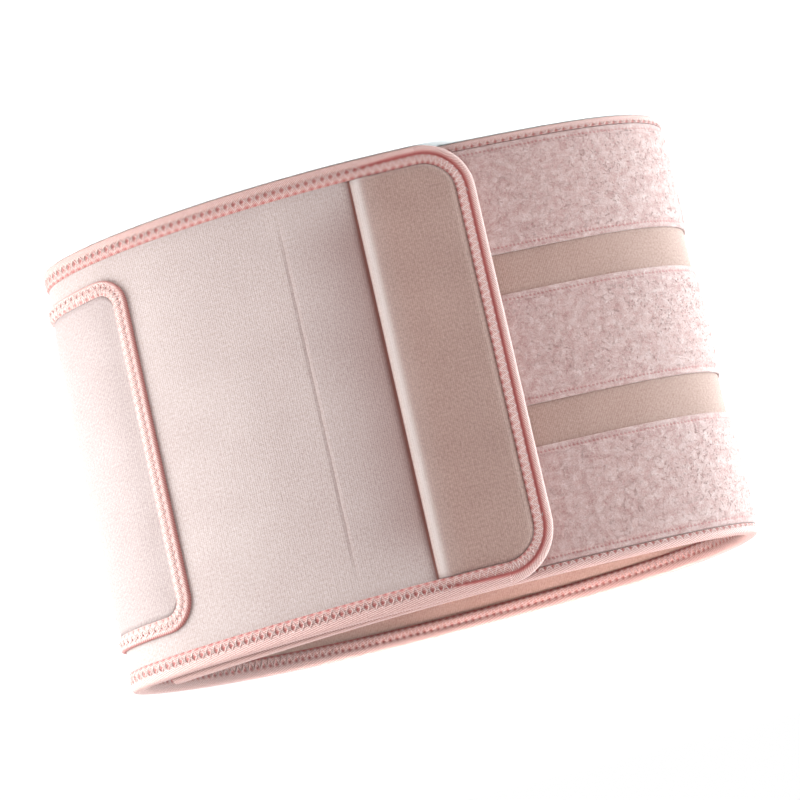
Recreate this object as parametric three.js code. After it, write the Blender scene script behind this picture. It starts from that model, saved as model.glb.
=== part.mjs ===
// A lumbar support belt: one long strip of padded knit cloth, wound once round and closed over itself.
// It stands on its lower edge as it would on a table. The front faces -Y, and +Z is up.
// The strip is laid out flat first, as it was cut, and then bent round the loop.
import * as THREE from 'three';

// Sizes of the loop, measured at its lower edge
const LOOP_HALF_WIDTH = 150;
const LOOP_FRONT_DEPTH = 54.5;
const LOOP_BACK_DEPTH = 101.5;
const LOOP_TURN = THREE.MathUtils.degToRad(-2.4);
const LOOP_ROUNDNESS = { frontPlusX: 1.8, frontMinusX: 2.13, backPlusX: 1.75, backMinusX: 2.36 };
// The loop draws in and leans a little towards its upper edge
const UPPER_LOOP_SHARE = 0.964;
const LEAN_X = 6.3;
const LEAN_Y = -4.4;

// Sizes of the strip
const BELT_HEIGHT = 200;
const BODY_THICKNESS = 4;
const OVERLAP = 191;
const FLAP_END_PAST_FRONT = 53;
const CORNER_RADIUS = 24;
const SEAT_GAP = 0.3;
// The covered end is wound a little high
const COVERED_END_RISE = 2;
const RISE_LENGTH = 170;

// Sizes of the edge binding, a tape folded over the strip's edge
const BINDING_WALL = 0.8;
const BINDING_FLOOR = 1.2;
const BINDING_LIP = 9.5;
const BINDING_FLAT = 2.2;
const BINDING_ROLL = 1.6;

// Sizes of what is sewn on the strip
const LOOP_BAND_COUNT = 3;
const LOOP_BAND_HEIGHT = 51;
const LOOP_BAND_THICKNESS = 1.4;
const LOOP_BAND_LENGTH = 202;
const LOOP_BAND_TO_PANEL = 2;
const LOOP_BAND_MARGIN = 4.5;
const HOOK_THICKNESS = 1.2;
const HOOK_WIDTH = 38;
const HOOK_MARGIN = 12;
const END_PANEL_WIDTH = 55;
const END_PANEL_THICKNESS = 1;
const END_FOLD_WIDTH = 3;
const END_FOLD_HEIGHT = 0.6;
const BACK_PANEL_LENGTH = 434;
const BACK_PANEL_PAST_FRONT = 190;
const BACK_PANEL_LOWER_MARGIN = 18;
const BACK_PANEL_UPPER_MARGIN = 18.5;
const BACK_PANEL_THICKNESS = 1.6;
const BACK_PANEL_CORNER = 14;
const PANEL_BINDING_WIDTH = 7;
const PANEL_BINDING_THICKNESS = 2.2;

// How finely the loop is divided
const LOOP_STEP = 9.2;
const CORNER_STEPS = 5;
const OUTLINE_SAMPLES = 2880;

// The strip's faces as depths inwards from the binding's outer face
const BODY_OUTER = BINDING_WALL + SEAT_GAP;
const BODY_INNER = BODY_OUTER + BODY_THICKNESS;
const BINDING_THICKNESS = BODY_INNER + SEAT_GAP + BINDING_WALL;
// The two windings are one closure apart: body, loop band and hook patch, with a gap at each face
const WINDING_STEP = BODY_THICKNESS + LOOP_BAND_THICKNESS + HOOK_THICKNESS + 3 * SEAT_GAP;
const BODY_EDGE = BINDING_FLOOR + SEAT_GAP;

function superellipse(angle) {
  const c = Math.cos(angle);
  const s = Math.sin(angle);
  const roundness = s < 0
    ? (c < 0 ? LOOP_ROUNDNESS.frontMinusX : LOOP_ROUNDNESS.frontPlusX)
    : (c < 0 ? LOOP_ROUNDNESS.backMinusX : LOOP_ROUNDNESS.backPlusX);
  const depth = s < 0 ? LOOP_FRONT_DEPTH : LOOP_BACK_DEPTH;
  const x = LOOP_HALF_WIDTH * Math.sign(c) * Math.abs(c) ** (2 / roundness);
  const y = depth * Math.sign(s) * Math.abs(s) ** (2 / roundness);
  return new THREE.Vector2(x, y).rotateAround(new THREE.Vector2(), LOOP_TURN);
}

// The loop as evenly spaced stations, from the middle of the front towards -X and on round the back
function makeStations() {
  const dense = [];
  for (let i = 0; i <= OUTLINE_SAMPLES; i += 1) {
    dense.push(superellipse(-Math.PI / 2 - (2 * Math.PI * i) / OUTLINE_SAMPLES));
  }
  const reach = [0];
  for (let i = 1; i < dense.length; i += 1) {
    reach.push(reach[i - 1] + dense[i].distanceTo(dense[i - 1]));
  }
  const perimeter = reach[reach.length - 1];
  const count = Math.round(perimeter / LOOP_STEP);
  const points = [];
  let k = 0;
  for (let i = 0; i < count; i += 1) {
    const wanted = (perimeter * i) / count;
    while (reach[k + 1] < wanted) k += 1;
    const share = (wanted - reach[k]) / (reach[k + 1] - reach[k]);
    points.push(dense[k].clone().lerp(dense[k + 1], share));
  }
  return { points, perimeter, count };
}

// Each station's inward direction, lengthened so that both neighbouring sides keep their distance
function makeInwards(points) {
  return points.map((point, i) => {
    const before = point.clone().sub(points[(i + points.length - 1) % points.length]).normalize();
    const after = points[(i + 1) % points.length].clone().sub(point).normalize();
    const normalBefore = new THREE.Vector2(before.y, -before.x);
    const normalAfter = new THREE.Vector2(after.y, -after.x);
    const middle = normalBefore.clone().add(normalAfter).normalize();
    return middle.divideScalar(middle.dot(normalAfter));
  });
}

const loop = makeStations();
const inwards = makeInwards(loop.points);
const STRIP_LENGTH = loop.perimeter + OVERLAP;
const STATION_GAP = loop.perimeter / loop.count;
// Where the strip's covered end lies, counted along the loop from the middle of the front
const COVERED_END = FLAP_END_PAST_FRONT - OVERLAP;
// The strip climbs from the inner winding to the outer one between the flap's end and the loop's end
const CLIMB_FROM = OVERLAP + WINDING_STEP;
const CLIMB_TO = BACK_PANEL_PAST_FRONT - COVERED_END - LOOP_BAND_TO_PANEL;

function smooth(value) {
  return THREE.MathUtils.smoothstep(value, 0, 1);
}

function windingDepth(along) {
  return WINDING_STEP * (1 - smooth((along - CLIMB_FROM) / (CLIMB_TO - CLIMB_FROM)));
}

function rise(along) {
  return COVERED_END_RISE * (1 - smooth(along / RISE_LENGTH));
}

// Bends a point of the flat strip round the loop: along it, up it and inwards from its outer face
function place(along, up, inward) {
  const at = (along + COVERED_END + loop.perimeter) / STATION_GAP;
  const whole = Math.floor(at);
  const share = at - whole;
  const a = whole % loop.count;
  const b = (whole + 1) % loop.count;
  const depth = inward + windingDepth(along);
  const flat = loop.points[a].clone().lerp(loop.points[b], share);
  flat.add(inwards[a].clone().lerp(inwards[b], share).multiplyScalar(depth));
  const height = up + rise(along);
  const climb = height / BELT_HEIGHT;
  flat.multiplyScalar(1 + (UPPER_LOOP_SHARE - 1) * climb);
  return new THREE.Vector3(flat.x + LEAN_X * climb, flat.y + LEAN_Y * climb, height);
}

// All stations between two places on the strip, with the corner steps asked for at its ends
function stationsBetween(from, to, startCorner, endCorner) {
  const list = [from, to];
  const first = Math.ceil((from + COVERED_END) / STATION_GAP);
  for (let i = first; i * STATION_GAP - COVERED_END < to; i += 1) {
    list.push(i * STATION_GAP - COVERED_END);
  }
  for (let i = 1; i <= CORNER_STEPS; i += 1) {
    const back = 1 - Math.cos((Math.PI / 2) * (i / CORNER_STEPS));
    if (startCorner > 0) list.push(from + startCorner * back);
    if (endCorner > 0) list.push(to - endCorner * back);
  }
  list.sort((a, b) => a - b);
  return list.filter((value, i) => i === 0 || value - list[i - 1] > 0.05);
}

// How far a rounded corner cuts in, at a distance from the piece's end
function cornerCut(distance, radius) {
  if (distance >= radius) return 0;
  return radius - Math.sqrt(Math.max(0, radius ** 2 - (radius - distance) ** 2));
}

// A sewn-on or cut sheet: a box divided along the strip, shaped flat and then bent
function sheet({ from, to, low, high, outer, inner, startCorner = 0, endCorner = 0 }) {
  const stations = stationsBetween(from, to, startCorner, endCorner);
  const geometry = new THREE.BoxGeometry(1, 1, 1, stations.length - 1, 1, 1);
  const position = geometry.attributes.position;
  for (let i = 0; i < position.count; i += 1) {
    const along = stations[Math.round((position.getX(i) + 0.5) * (stations.length - 1))];
    const cut = Math.max(
      startCorner > 0 ? cornerCut(along - from, startCorner) : 0,
      endCorner > 0 ? cornerCut(to - along, endCorner) : 0,
    );
    const up = position.getY(i) < 0 ? low + cut : high - cut;
    const outside = typeof outer === 'function' ? outer(along) : outer;
    const point = place(along, up, position.getZ(i) < 0 ? outside : inner);
    position.setXYZ(i, point.x, point.y, point.z);
  }
  geometry.computeVertexNormals();
  return geometry;
}

// A tape that follows an edge: its section is drawn as distance from the edge and depth
function tape(edge, sectionAt) {
  const steps = edge.length - 1;
  const outline = new THREE.Shape(sectionAt(edge[0]));
  const geometry = new THREE.ExtrudeGeometry(outline, { depth: 1, steps, bevelEnabled: false });
  const start = sectionAt(edge[0]);
  const position = geometry.attributes.position;
  for (let i = 0; i < position.count; i += 1) {
    const stop = edge[Math.round(position.getZ(i) * steps)];
    const corner = start.findIndex((p) => Math.hypot(p.x - position.getX(i), p.y - position.getY(i)) < 1e-4);
    const section = sectionAt(stop)[corner];
    const point = place(stop.along + stop.inAlong * section.x, stop.up + stop.inUp * section.x, section.y);
    position.setXYZ(i, point.x, point.y, point.z);
  }
  geometry.computeVertexNormals();
  return geometry;
}

function straightEdge(from, to, up, inUp, extra = []) {
  const list = [...stationsBetween(Math.min(from, to), Math.max(from, to), 0, 0), ...extra];
  list.sort((a, b) => (to > from ? a - b : b - a));
  return list.map((along) => ({ along, up, inAlong: 0, inUp }));
}

// A quarter turn of an edge round a rounded corner
function cornerEdge(centreAlong, centreUp, radius, fromAngle) {
  const list = [];
  for (let i = 0; i <= CORNER_STEPS; i += 1) {
    const angle = fromAngle + (Math.PI / 2) * (i / CORNER_STEPS);
    const c = Math.cos(angle);
    const s = Math.sin(angle);
    list.push({ along: centreAlong + radius * c, up: centreUp + radius * s, inAlong: -c, inUp: -s });
  }
  return list;
}

function points(list) {
  return list.map(([x, y]) => new THREE.Vector2(x, y));
}

// The folded tape's section: a lip on each face and a roll with a flat on the edge
function foldedSection(outerLip) {
  const middle = BINDING_THICKNESS / 2;
  const flat = BINDING_FLAT / 2;
  const slope = BINDING_ROLL / 3;
  return points([
    [0, middle - flat],
    [slope, slope],
    [BINDING_ROLL, 0],
    [outerLip, 0],
    [outerLip, BINDING_WALL],
    [BINDING_FLOOR, BINDING_WALL],
    [BINDING_FLOOR, BINDING_THICKNESS - BINDING_WALL],
    [BINDING_LIP, BINDING_THICKNESS - BINDING_WALL],
    [BINDING_LIP, BINDING_THICKNESS],
    [BINDING_ROLL, BINDING_THICKNESS],
    [slope, BINDING_THICKNESS - slope],
    [0, middle + flat],
  ]);
}

// Beside the loop bands the tape's outer lip is narrower
const LOOP_SIDE_LIP = LOOP_BAND_MARGIN - SEAT_GAP;
const LOOP_SIDE_END = BACK_PANEL_PAST_FRONT - COVERED_END;
const lipChange = [LOOP_SIDE_END, LOOP_SIDE_END + SEAT_GAP];
function bindingSection(stop) {
  return foldedSection(stop.along <= LOOP_SIDE_END ? LOOP_SIDE_LIP : BINDING_LIP);
}

const flapCornerFrom = STRIP_LENGTH - CORNER_RADIUS;

function beltBody() {
  return sheet({
    from: 0,
    to: STRIP_LENGTH - BODY_EDGE,
    low: BODY_EDGE,
    high: BELT_HEIGHT - BODY_EDGE,
    outer: BODY_OUTER,
    inner: BODY_INNER,
    endCorner: CORNER_RADIUS - BODY_EDGE,
  });
}

function lowerBinding() {
  return tape(straightEdge(0, flapCornerFrom - SEAT_GAP, 0, 1, lipChange), bindingSection);
}

function upperBinding() {
  return tape(straightEdge(flapCornerFrom - SEAT_GAP, 0, BELT_HEIGHT, -1, lipChange), bindingSection);
}

function flapEndBinding() {
  const lower = cornerEdge(flapCornerFrom, CORNER_RADIUS, CORNER_RADIUS, -Math.PI / 2);
  const upper = cornerEdge(flapCornerFrom, BELT_HEIGHT - CORNER_RADIUS, CORNER_RADIUS, 0);
  return tape([...lower, ...upper], bindingSection);
}

function endPanel() {
  const from = STRIP_LENGTH - END_PANEL_WIDTH;
  const edge = BINDING_LIP + SEAT_GAP;
  const face = BODY_OUTER - SEAT_GAP - END_PANEL_THICKNESS;
  return sheet({
    from,
    to: STRIP_LENGTH - edge,
    low: edge,
    high: BELT_HEIGHT - edge,
    outer: (along) => (along < from + END_FOLD_WIDTH ? face - END_FOLD_HEIGHT : face),
    inner: BODY_OUTER - SEAT_GAP,
    endCorner: CORNER_RADIUS - edge,
  });
}

function hookPatch() {
  const to = STRIP_LENGTH - BINDING_LIP - SEAT_GAP;
  return sheet({
    from: to - HOOK_WIDTH,
    to,
    low: HOOK_MARGIN,
    high: BELT_HEIGHT - HOOK_MARGIN,
    outer: BODY_INNER + SEAT_GAP,
    inner: BODY_INNER + SEAT_GAP + HOOK_THICKNESS,
    endCorner: CORNER_RADIUS - HOOK_MARGIN,
  });
}

const loopBandsTo = LOOP_SIDE_END - LOOP_BAND_TO_PANEL;
const loopBandPitch = (BELT_HEIGHT - 2 * LOOP_BAND_MARGIN - LOOP_BAND_HEIGHT) / (LOOP_BAND_COUNT - 1);
function loopBand(index) {
  const low = LOOP_BAND_MARGIN + index * loopBandPitch;
  return sheet({
    from: loopBandsTo - LOOP_BAND_LENGTH,
    to: loopBandsTo,
    low,
    high: low + LOOP_BAND_HEIGHT,
    outer: BODY_OUTER - SEAT_GAP - LOOP_BAND_THICKNESS,
    inner: BODY_OUTER - SEAT_GAP,
  });
}

const panelFrom = LOOP_SIDE_END;
const panelTo = LOOP_SIDE_END + BACK_PANEL_LENGTH;
const panelLow = BACK_PANEL_LOWER_MARGIN;
const panelHigh = BELT_HEIGHT - BACK_PANEL_UPPER_MARGIN;

function backPanel() {
  const inset = PANEL_BINDING_WIDTH + SEAT_GAP;
  return sheet({
    from: panelFrom + inset,
    to: panelTo - inset,
    low: panelLow + inset,
    high: panelHigh - inset,
    outer: BODY_OUTER - SEAT_GAP - BACK_PANEL_THICKNESS,
    inner: BODY_OUTER - SEAT_GAP,
    startCorner: BACK_PANEL_CORNER - inset,
    endCorner: BACK_PANEL_CORNER - inset,
  });
}

// The panel's own bound edge, in two halves that meet in the middle of the back
function panelBinding(half) {
  const radius = BACK_PANEL_CORNER;
  const middle = (panelFrom + panelTo) / 2 + (half === 'start' ? -SEAT_GAP / 2 : SEAT_GAP / 2);
  const corners = half === 'start'
    ? [
      ...straightEdge(middle, panelFrom + radius, panelHigh, -1),
      ...cornerEdge(panelFrom + radius, panelHigh - radius, radius, Math.PI / 2),
      ...cornerEdge(panelFrom + radius, panelLow + radius, radius, Math.PI),
      ...straightEdge(panelFrom + radius, middle, panelLow, 1),
    ]
    : [
      ...straightEdge(middle, panelTo - radius, panelLow, 1),
      ...cornerEdge(panelTo - radius, panelLow + radius, radius, -Math.PI / 2),
      ...cornerEdge(panelTo - radius, panelHigh - radius, radius, 0),
      ...straightEdge(panelTo - radius, middle, panelHigh, -1),
    ];
  const edge = corners.filter((stop, i) => {
    const last = corners[i - 1];
    return i === 0 || Math.hypot(stop.along - last.along, stop.up - last.up) > 0.01;
  });
  const inner = BODY_OUTER - SEAT_GAP;
  const outer = inner - PANEL_BINDING_THICKNESS;
  const section = points([
    [0, outer + PANEL_BINDING_THICKNESS / 3],
    [PANEL_BINDING_THICKNESS / 3, outer],
    [PANEL_BINDING_WIDTH, outer],
    [PANEL_BINDING_WIDTH, inner],
    [0, inner],
  ]);
  return tape(edge, () => section);
}

function cloth(color, roughness) {
  return new THREE.MeshStandardMaterial({ color, roughness, metalness: 0 });
}

const knitCloth = cloth(0xd9c1ba, 0.85);
const panelCloth = cloth(0xc8a9a0, 0.85);
const bindingTape = cloth(0xcf9c98, 0.8);
const loopPile = cloth(0xd3a9a8, 0.95);
const hookTape = cloth(0xc79a94, 0.7);
const backCloth = cloth(0xe4d2cc, 0.85);

const belt = new THREE.Group();
function add(name, geometry, material) {
  const mesh = new THREE.Mesh(geometry, material);
  mesh.name = name;
  belt.add(mesh);
}

add('belt_body', beltBody(), knitCloth);
add('lower_binding', lowerBinding(), bindingTape);
add('upper_binding', upperBinding(), bindingTape);
add('flap_end_binding', flapEndBinding(), bindingTape);
add('end_panel', endPanel(), panelCloth);
add('hook_patch', hookPatch(), hookTape);
['loop_band_lower', 'loop_band_middle', 'loop_band_upper'].forEach((name, i) => {
  add(name, loopBand(i), loopPile);
});
add('back_panel', backPanel(), backCloth);
add('back_panel_binding_start', panelBinding('start'), bindingTape);
add('back_panel_binding_end', panelBinding('end'), bindingTape);

// The origin is under the middle of the belt's box, on the surface it stands on
const box = new THREE.Box3().setFromObject(belt);
const middle = box.getCenter(new THREE.Vector3());
belt.position.set(-middle.x, -middle.y, -box.min.z);

export default belt;
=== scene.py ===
from math import pi, radians

import bmesh
import bpy
import numpy as np
from mathutils import Matrix, Vector


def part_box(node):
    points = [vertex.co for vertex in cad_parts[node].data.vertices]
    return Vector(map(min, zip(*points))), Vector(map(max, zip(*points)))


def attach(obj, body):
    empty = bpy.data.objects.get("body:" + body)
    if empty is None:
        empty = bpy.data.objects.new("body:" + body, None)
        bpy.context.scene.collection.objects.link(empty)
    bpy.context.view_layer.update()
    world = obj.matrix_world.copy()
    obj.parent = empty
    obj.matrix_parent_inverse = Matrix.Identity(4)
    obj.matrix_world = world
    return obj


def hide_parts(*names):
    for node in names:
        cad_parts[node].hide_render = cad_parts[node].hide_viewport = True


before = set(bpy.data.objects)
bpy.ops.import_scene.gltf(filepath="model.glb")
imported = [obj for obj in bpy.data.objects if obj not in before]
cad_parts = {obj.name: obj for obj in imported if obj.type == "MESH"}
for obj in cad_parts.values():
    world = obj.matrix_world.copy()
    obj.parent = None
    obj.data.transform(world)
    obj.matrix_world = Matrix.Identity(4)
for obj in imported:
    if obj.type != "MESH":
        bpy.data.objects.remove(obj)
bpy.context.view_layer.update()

# The belt body is one strip of foam laminate with knit cloth on both faces, cut flat and wound once
# round the waist. Every other piece is cut flat in the same way, in millimetres along the strip, up it
# and inwards from the binding's outer face, and is then bent round the same loop.
LOOP_HALF_WIDTH = 150.0
LOOP_FRONT_DEPTH = 54.5
LOOP_BACK_DEPTH = 101.5
LOOP_TURN = radians(-2.4)
ROUNDNESS_FRONT = {"+x": 1.8, "-x": 2.13}
ROUNDNESS_BACK = {"+x": 1.75, "-x": 2.36}
UPPER_LOOP_SHARE = 0.964
LEAN_X = 6.3
LEAN_Y = -4.4
LOOP_POINTS = 2880
LOOP_EASE = 5.0
BELT_HEIGHT = 200.0
BODY_THICKNESS = 4.0
OVERLAP = 191.0
FLAP_END_PAST_FRONT = 53.0
CORNER_RADIUS = 24.0
COVERED_END_RISE = 2.0
RISE_LENGTH = 170.0
TAPE_WALL = 0.8
SEAT_GAP = 0.3
BODY_OUTER = TAPE_WALL + SEAT_GAP
BODY_INNER = BODY_OUTER + BODY_THICKNESS
TAPE_THICKNESS = BODY_INNER + BODY_OUTER
BODY_EDGE = 1.5
WINDING_STEP = 7.5
COVERED_END = FLAP_END_PAST_FRONT - OVERLAP
CLIMB_FROM = OVERLAP + WINDING_STEP
CLIMB_TO = 326.0
MILLIMETRE = 0.001


def smooth_step(share):
    share = np.clip(share, 0.0, 1.0)
    return share * share * (3 - 2 * share)


def loop_outline():
    """The belt's plan as even steps from the middle of the front, and the way in from each."""
    angle = -pi / 2 - 2 * pi * np.arange(LOOP_POINTS + 1) / LOOP_POINTS
    c = np.cos(angle)
    s = np.sin(angle)
    front = np.where(c < 0, ROUNDNESS_FRONT["-x"], ROUNDNESS_FRONT["+x"])
    back = np.where(c < 0, ROUNDNESS_BACK["-x"], ROUNDNESS_BACK["+x"])
    roundness = np.where(s < 0, front, back)
    depth = np.where(s < 0, LOOP_FRONT_DEPTH, LOOP_BACK_DEPTH)
    x = LOOP_HALF_WIDTH * np.sign(c) * np.abs(c) ** (2 / roundness)
    y = depth * np.sign(s) * np.abs(s) ** (2 / roundness)
    outline = np.column_stack((
        x * np.cos(LOOP_TURN) - y * np.sin(LOOP_TURN),
        x * np.sin(LOOP_TURN) + y * np.cos(LOOP_TURN),
    ))
    reach = np.concatenate(([0.0], np.cumsum(np.linalg.norm(np.diff(outline, axis=0), axis=1))))
    perimeter = reach[-1]
    stops = perimeter * np.arange(LOOP_POINTS) / LOOP_POINTS
    even = np.column_stack([np.interp(stops, reach, outline[:, k]) for k in (0, 1)])
    # Cloth has no kinks, so the outline is eased over a few millimetres
    waves = np.fft.fftfreq(LOOP_POINTS, perimeter / LOOP_POINTS)
    ease = np.exp(-2 * (pi * waves * LOOP_EASE) ** 2)
    even = np.column_stack([np.fft.ifft(np.fft.fft(even[:, k]) * ease).real for k in (0, 1)])
    onward = np.roll(even, -1, axis=0) - np.roll(even, 1, axis=0)
    onward /= np.linalg.norm(onward, axis=1)[:, None]
    inward = np.column_stack((onward[:, 1], -onward[:, 0]))
    return perimeter, stops, even, inward


perimeter, loop_stops, loop_line, loop_inward = loop_outline()
STRIP_LENGTH = perimeter + OVERLAP
loop_shift = np.zeros(2)


def bend(flat):
    """Bends flat points (along, up, inwards) round the loop, and gives metres."""
    along, up, inward = flat[:, 0], flat[:, 1], flat[:, 2]
    stop = np.mod(along + COVERED_END, perimeter)
    climb_share = (along - CLIMB_FROM) / (CLIMB_TO - CLIMB_FROM)
    depth = inward + WINDING_STEP * (1 - smooth_step(climb_share))
    plan = np.column_stack([
        np.interp(stop, loop_stops, loop_line[:, k], period=perimeter)
        + depth * np.interp(stop, loop_stops, loop_inward[:, k], period=perimeter)
        for k in (0, 1)
    ])
    height = up + COVERED_END_RISE * (1 - smooth_step(along / RISE_LENGTH))
    climb = (height / BELT_HEIGHT)[:, None]
    plan = plan * (1 + (UPPER_LOOP_SHARE - 1) * climb) + climb * np.array((LEAN_X, LEAN_Y)) + loop_shift
    return np.column_stack((plan, height)) * MILLIMETRE


def find_shift():
    """How far the loop's own middle lies from the frame's, from the box of the tape on its lower edge."""
    along = np.arange(0.0, STRIP_LENGTH - CORNER_RADIUS)
    flat = np.concatenate([
        np.column_stack((along, np.full_like(along, up), np.zeros_like(along))) for up in (2.0, 9.0)
    ])
    placed = bend(flat)[:, :2]
    low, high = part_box("lower_binding")
    wanted = (np.array(low[:2]) + np.array(high[:2])) / 2
    return (wanted - (placed.min(axis=0) + placed.max(axis=0)) / 2) / MILLIMETRE


loop_shift = find_shift()


def corner_cut(distance, radius):
    """How far a rounded corner cuts in, at a distance from the piece's end."""
    past = np.clip(radius - distance, 0.0, radius)
    return radius - np.sqrt(radius ** 2 - past ** 2)


def stations(start, end, step, fine=(), corners=(0.0, 0.0)):
    """Stops along the strip, with closer ones in the fine stretches (from, to, step) and at corners."""
    stops = [np.linspace(start, end, int(np.ceil((end - start) / step)) + 1)]
    for first, last, fine_step in fine:
        stops.append(np.arange(max(first, start), min(last, end), fine_step))
    turn = 1 - np.cos(np.linspace(0, pi / 2, 15))
    if corners[0] > 0:
        stops.append(start + corners[0] * turn)
    if corners[1] > 0:
        stops.append(end - corners[1] * turn)
    stops = np.unique(np.round(np.concatenate(stops), 3))
    keep = np.concatenate(([True], np.diff(stops) > 0.12))
    keep[-1] = True
    return stops[keep]


def make_cloth(
    name, rings, pattern=None, painted_shade=None, painted_highlight=None, closed=False, lining_beyond=None, smooth_before=None,
):
    """A piece of cloth from rings of flat points round its section: capped, or closed on itself.
    pattern gives the cloth map in metres, painted_shade how much shade is painted at each point in seams
    and needle holes, and painted_highlight how much highlight is painted on folds."""
    columns, rows = rings.shape[:2]
    net = bmesh.new()
    bmesh.ops.create_grid(net, x_segments=columns - 1, y_segments=rows - 1, size=0.5)
    mesh = bpy.data.meshes.new(name)
    net.to_mesh(mesh)
    net.free()
    spots = np.empty(columns * rows * 3, dtype=np.float32)
    mesh.vertices.foreach_get("co", spots)
    spots = spots.reshape(-1, 3) + 0.5
    column = np.rint(spots[:, 0] * (columns - 1)).astype(int)
    row = np.rint(spots[:, 1] * (rows - 1)).astype(int)
    flat = rings[column, row]
    mesh.vertices.foreach_set("co", flat.astype(np.float32).ravel())
    corner_points = np.empty(len(mesh.loops), dtype=np.int32)
    mesh.loops.foreach_get("vertex_index", corner_points)
    if pattern is None:
        cloth_map = flat[:, :2] * MILLIMETRE
    else:
        cloth_map = pattern[column, row] * MILLIMETRE
    uv = mesh.uv_layers.new(name="cloth")
    uv.data.foreach_set("uv", cloth_map[corner_points].astype(np.float32).ravel())
    for mark, values in (("painted_shade", painted_shade), ("painted_highlight", painted_highlight)):
        layer = mesh.attributes.new(mark, "FLOAT", "POINT")
        if values is not None:
            layer.data.foreach_set("value", values[column, row].astype(np.float32))
    net = bmesh.new()
    net.from_mesh(mesh)
    bmesh.ops.remove_doubles(net, verts=net.verts[:], dist=0.001)
    if not closed:
        rims = [edge for edge in net.edges if edge.is_boundary]
        caps = bmesh.ops.holes_fill(net, edges=rims, sides=0)["faces"]
        for cap in caps:
            cap.smooth = False
    bmesh.ops.recalc_face_normals(net, faces=net.faces[:])
    for face in net.faces:
        face.smooth = len(face.verts) == 4
        middle = face.calc_center_median()
        if lining_beyond is not None and middle.z > lining_beyond:
            face.material_index = 1
        elif smooth_before is not None and middle.x < smooth_before:
            face.material_index = 2
    net.to_mesh(mesh)
    net.free()
    flat = np.empty(len(mesh.vertices) * 3, dtype=np.float32)
    mesh.vertices.foreach_get("co", flat)
    mesh.vertices.foreach_set("co", bend(flat.reshape(-1, 3).astype(float)).astype(np.float32).ravel())
    mesh.update()
    piece = bpy.data.objects.new(name, mesh)
    bpy.context.collection.objects.link(piece)
    return piece


def make_tree(name):
    """A new material, its node tree, and its shader, which is linked to the output."""
    material = bpy.data.materials.new(name)
    material.use_nodes = True
    tree = material.node_tree
    tree.nodes.clear()
    output = tree.nodes.new("ShaderNodeOutputMaterial")
    shader = tree.nodes.new("ShaderNodeBsdfPrincipled")
    tree.links.new(shader.outputs["BSDF"], output.inputs["Surface"])
    return material, tree, shader


def put(tree, kind, inputs=None, **settings):
    """Adds a node: inputs are sockets to link or values to set, by name or number."""
    node = tree.nodes.new("ShaderNode" + kind)
    for key, value in settings.items():
        setattr(node, key, value)
    for key, value in (inputs or {}).items():
        if isinstance(value, bpy.types.NodeSocket):
            tree.links.new(value, node.inputs[key])
        else:
            node.inputs[key].default_value = value
    return node


def sum_of(tree, operation, *values):
    """A Math node of the values, and its result."""
    return put(tree, "Math", dict(enumerate(values)), operation=operation).outputs[0]


def mix_of(tree, factor, first, second):
    """A colour mix, and its result."""
    node = put(tree, "Mix", data_type="RGBA")
    for socket, value in zip((node.inputs[0], node.inputs[6], node.inputs[7]), (factor, first, second)):
        if isinstance(value, bpy.types.NodeSocket):
            tree.links.new(value, socket)
        else:
            socket.default_value = value
    return node.outputs[2]


def new_group(name, inputs, outputs):
    """A shader node group with named sockets, and its two end nodes."""
    tree = bpy.data.node_groups.new(name, "ShaderNodeTree")
    for label, kind in inputs:
        tree.interface.new_socket(label, in_out="INPUT", socket_type="NodeSocket" + kind)
    for label, kind in outputs:
        tree.interface.new_socket(label, in_out="OUTPUT", socket_type="NodeSocket" + kind)
    return tree, tree.nodes.new("NodeGroupInput"), tree.nodes.new("NodeGroupOutput")


STITCH_WANDER = 0.7
STITCH_SLANT = 1.5


def make_knit():
    """Stocking stitch: upright columns of small Vs, a little uneven."""
    tree, given, result = new_group(
        "knit",
        [("Cloth", "Vector"), ("Columns", "Float"), ("Rows", "Float")],
        [("Height", "Float"), ("Tone", "Float")],
    )
    wander = put(tree, "TexNoise", {"Vector": given.outputs["Cloth"], "Scale": 260.0, "Detail": 2.0})
    place = put(tree, "SeparateXYZ", {0: given.outputs["Cloth"]})
    drift = sum_of(tree, "MULTIPLY", sum_of(tree, "SUBTRACT", wander.outputs["Fac"], 0.5), STITCH_WANDER)
    column = sum_of(tree, "MULTIPLY", place.outputs[0], given.outputs["Columns"])
    across = sum_of(tree, "ADD", column, drift)
    upward = sum_of(tree, "MULTIPLY", place.outputs[1], given.outputs["Rows"])
    swing = sum_of(tree, "COSINE", sum_of(tree, "MULTIPLY", across, 2 * pi))
    rib = sum_of(tree, "MULTIPLY_ADD", swing, -0.5, 0.5)
    slant = sum_of(tree, "PINGPONG", across, 0.5)
    turn = sum_of(tree, "MULTIPLY", sum_of(tree, "MULTIPLY_ADD", slant, STITCH_SLANT, upward), 2 * pi)
    yarn = sum_of(tree, "MULTIPLY_ADD", sum_of(tree, "SINE", turn), 0.5, 0.5)
    lit = sum_of(tree, "MULTIPLY", rib, sum_of(tree, "MULTIPLY_ADD", yarn, 0.65, 0.35))
    fluff = put(tree, "TexNoise", {"Vector": given.outputs["Cloth"], "Scale": 900.0, "Detail": 3.0})
    height = sum_of(tree, "MULTIPLY_ADD", fluff.outputs["Fac"], 1.6, sum_of(tree, "MULTIPLY", lit, 0.7))
    tree.links.new(height, result.inputs["Height"])
    speckle = sum_of(tree, "MULTIPLY_ADD", lit, 0.3, sum_of(tree, "MULTIPLY", fluff.outputs["Fac"], 1.1))
    tree.links.new(speckle, result.inputs["Tone"])
    return tree


knit_group = make_knit()


def cloth_uv(tree):
    return put(tree, "UVMap", uv_map="cloth").outputs["UV"]


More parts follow.
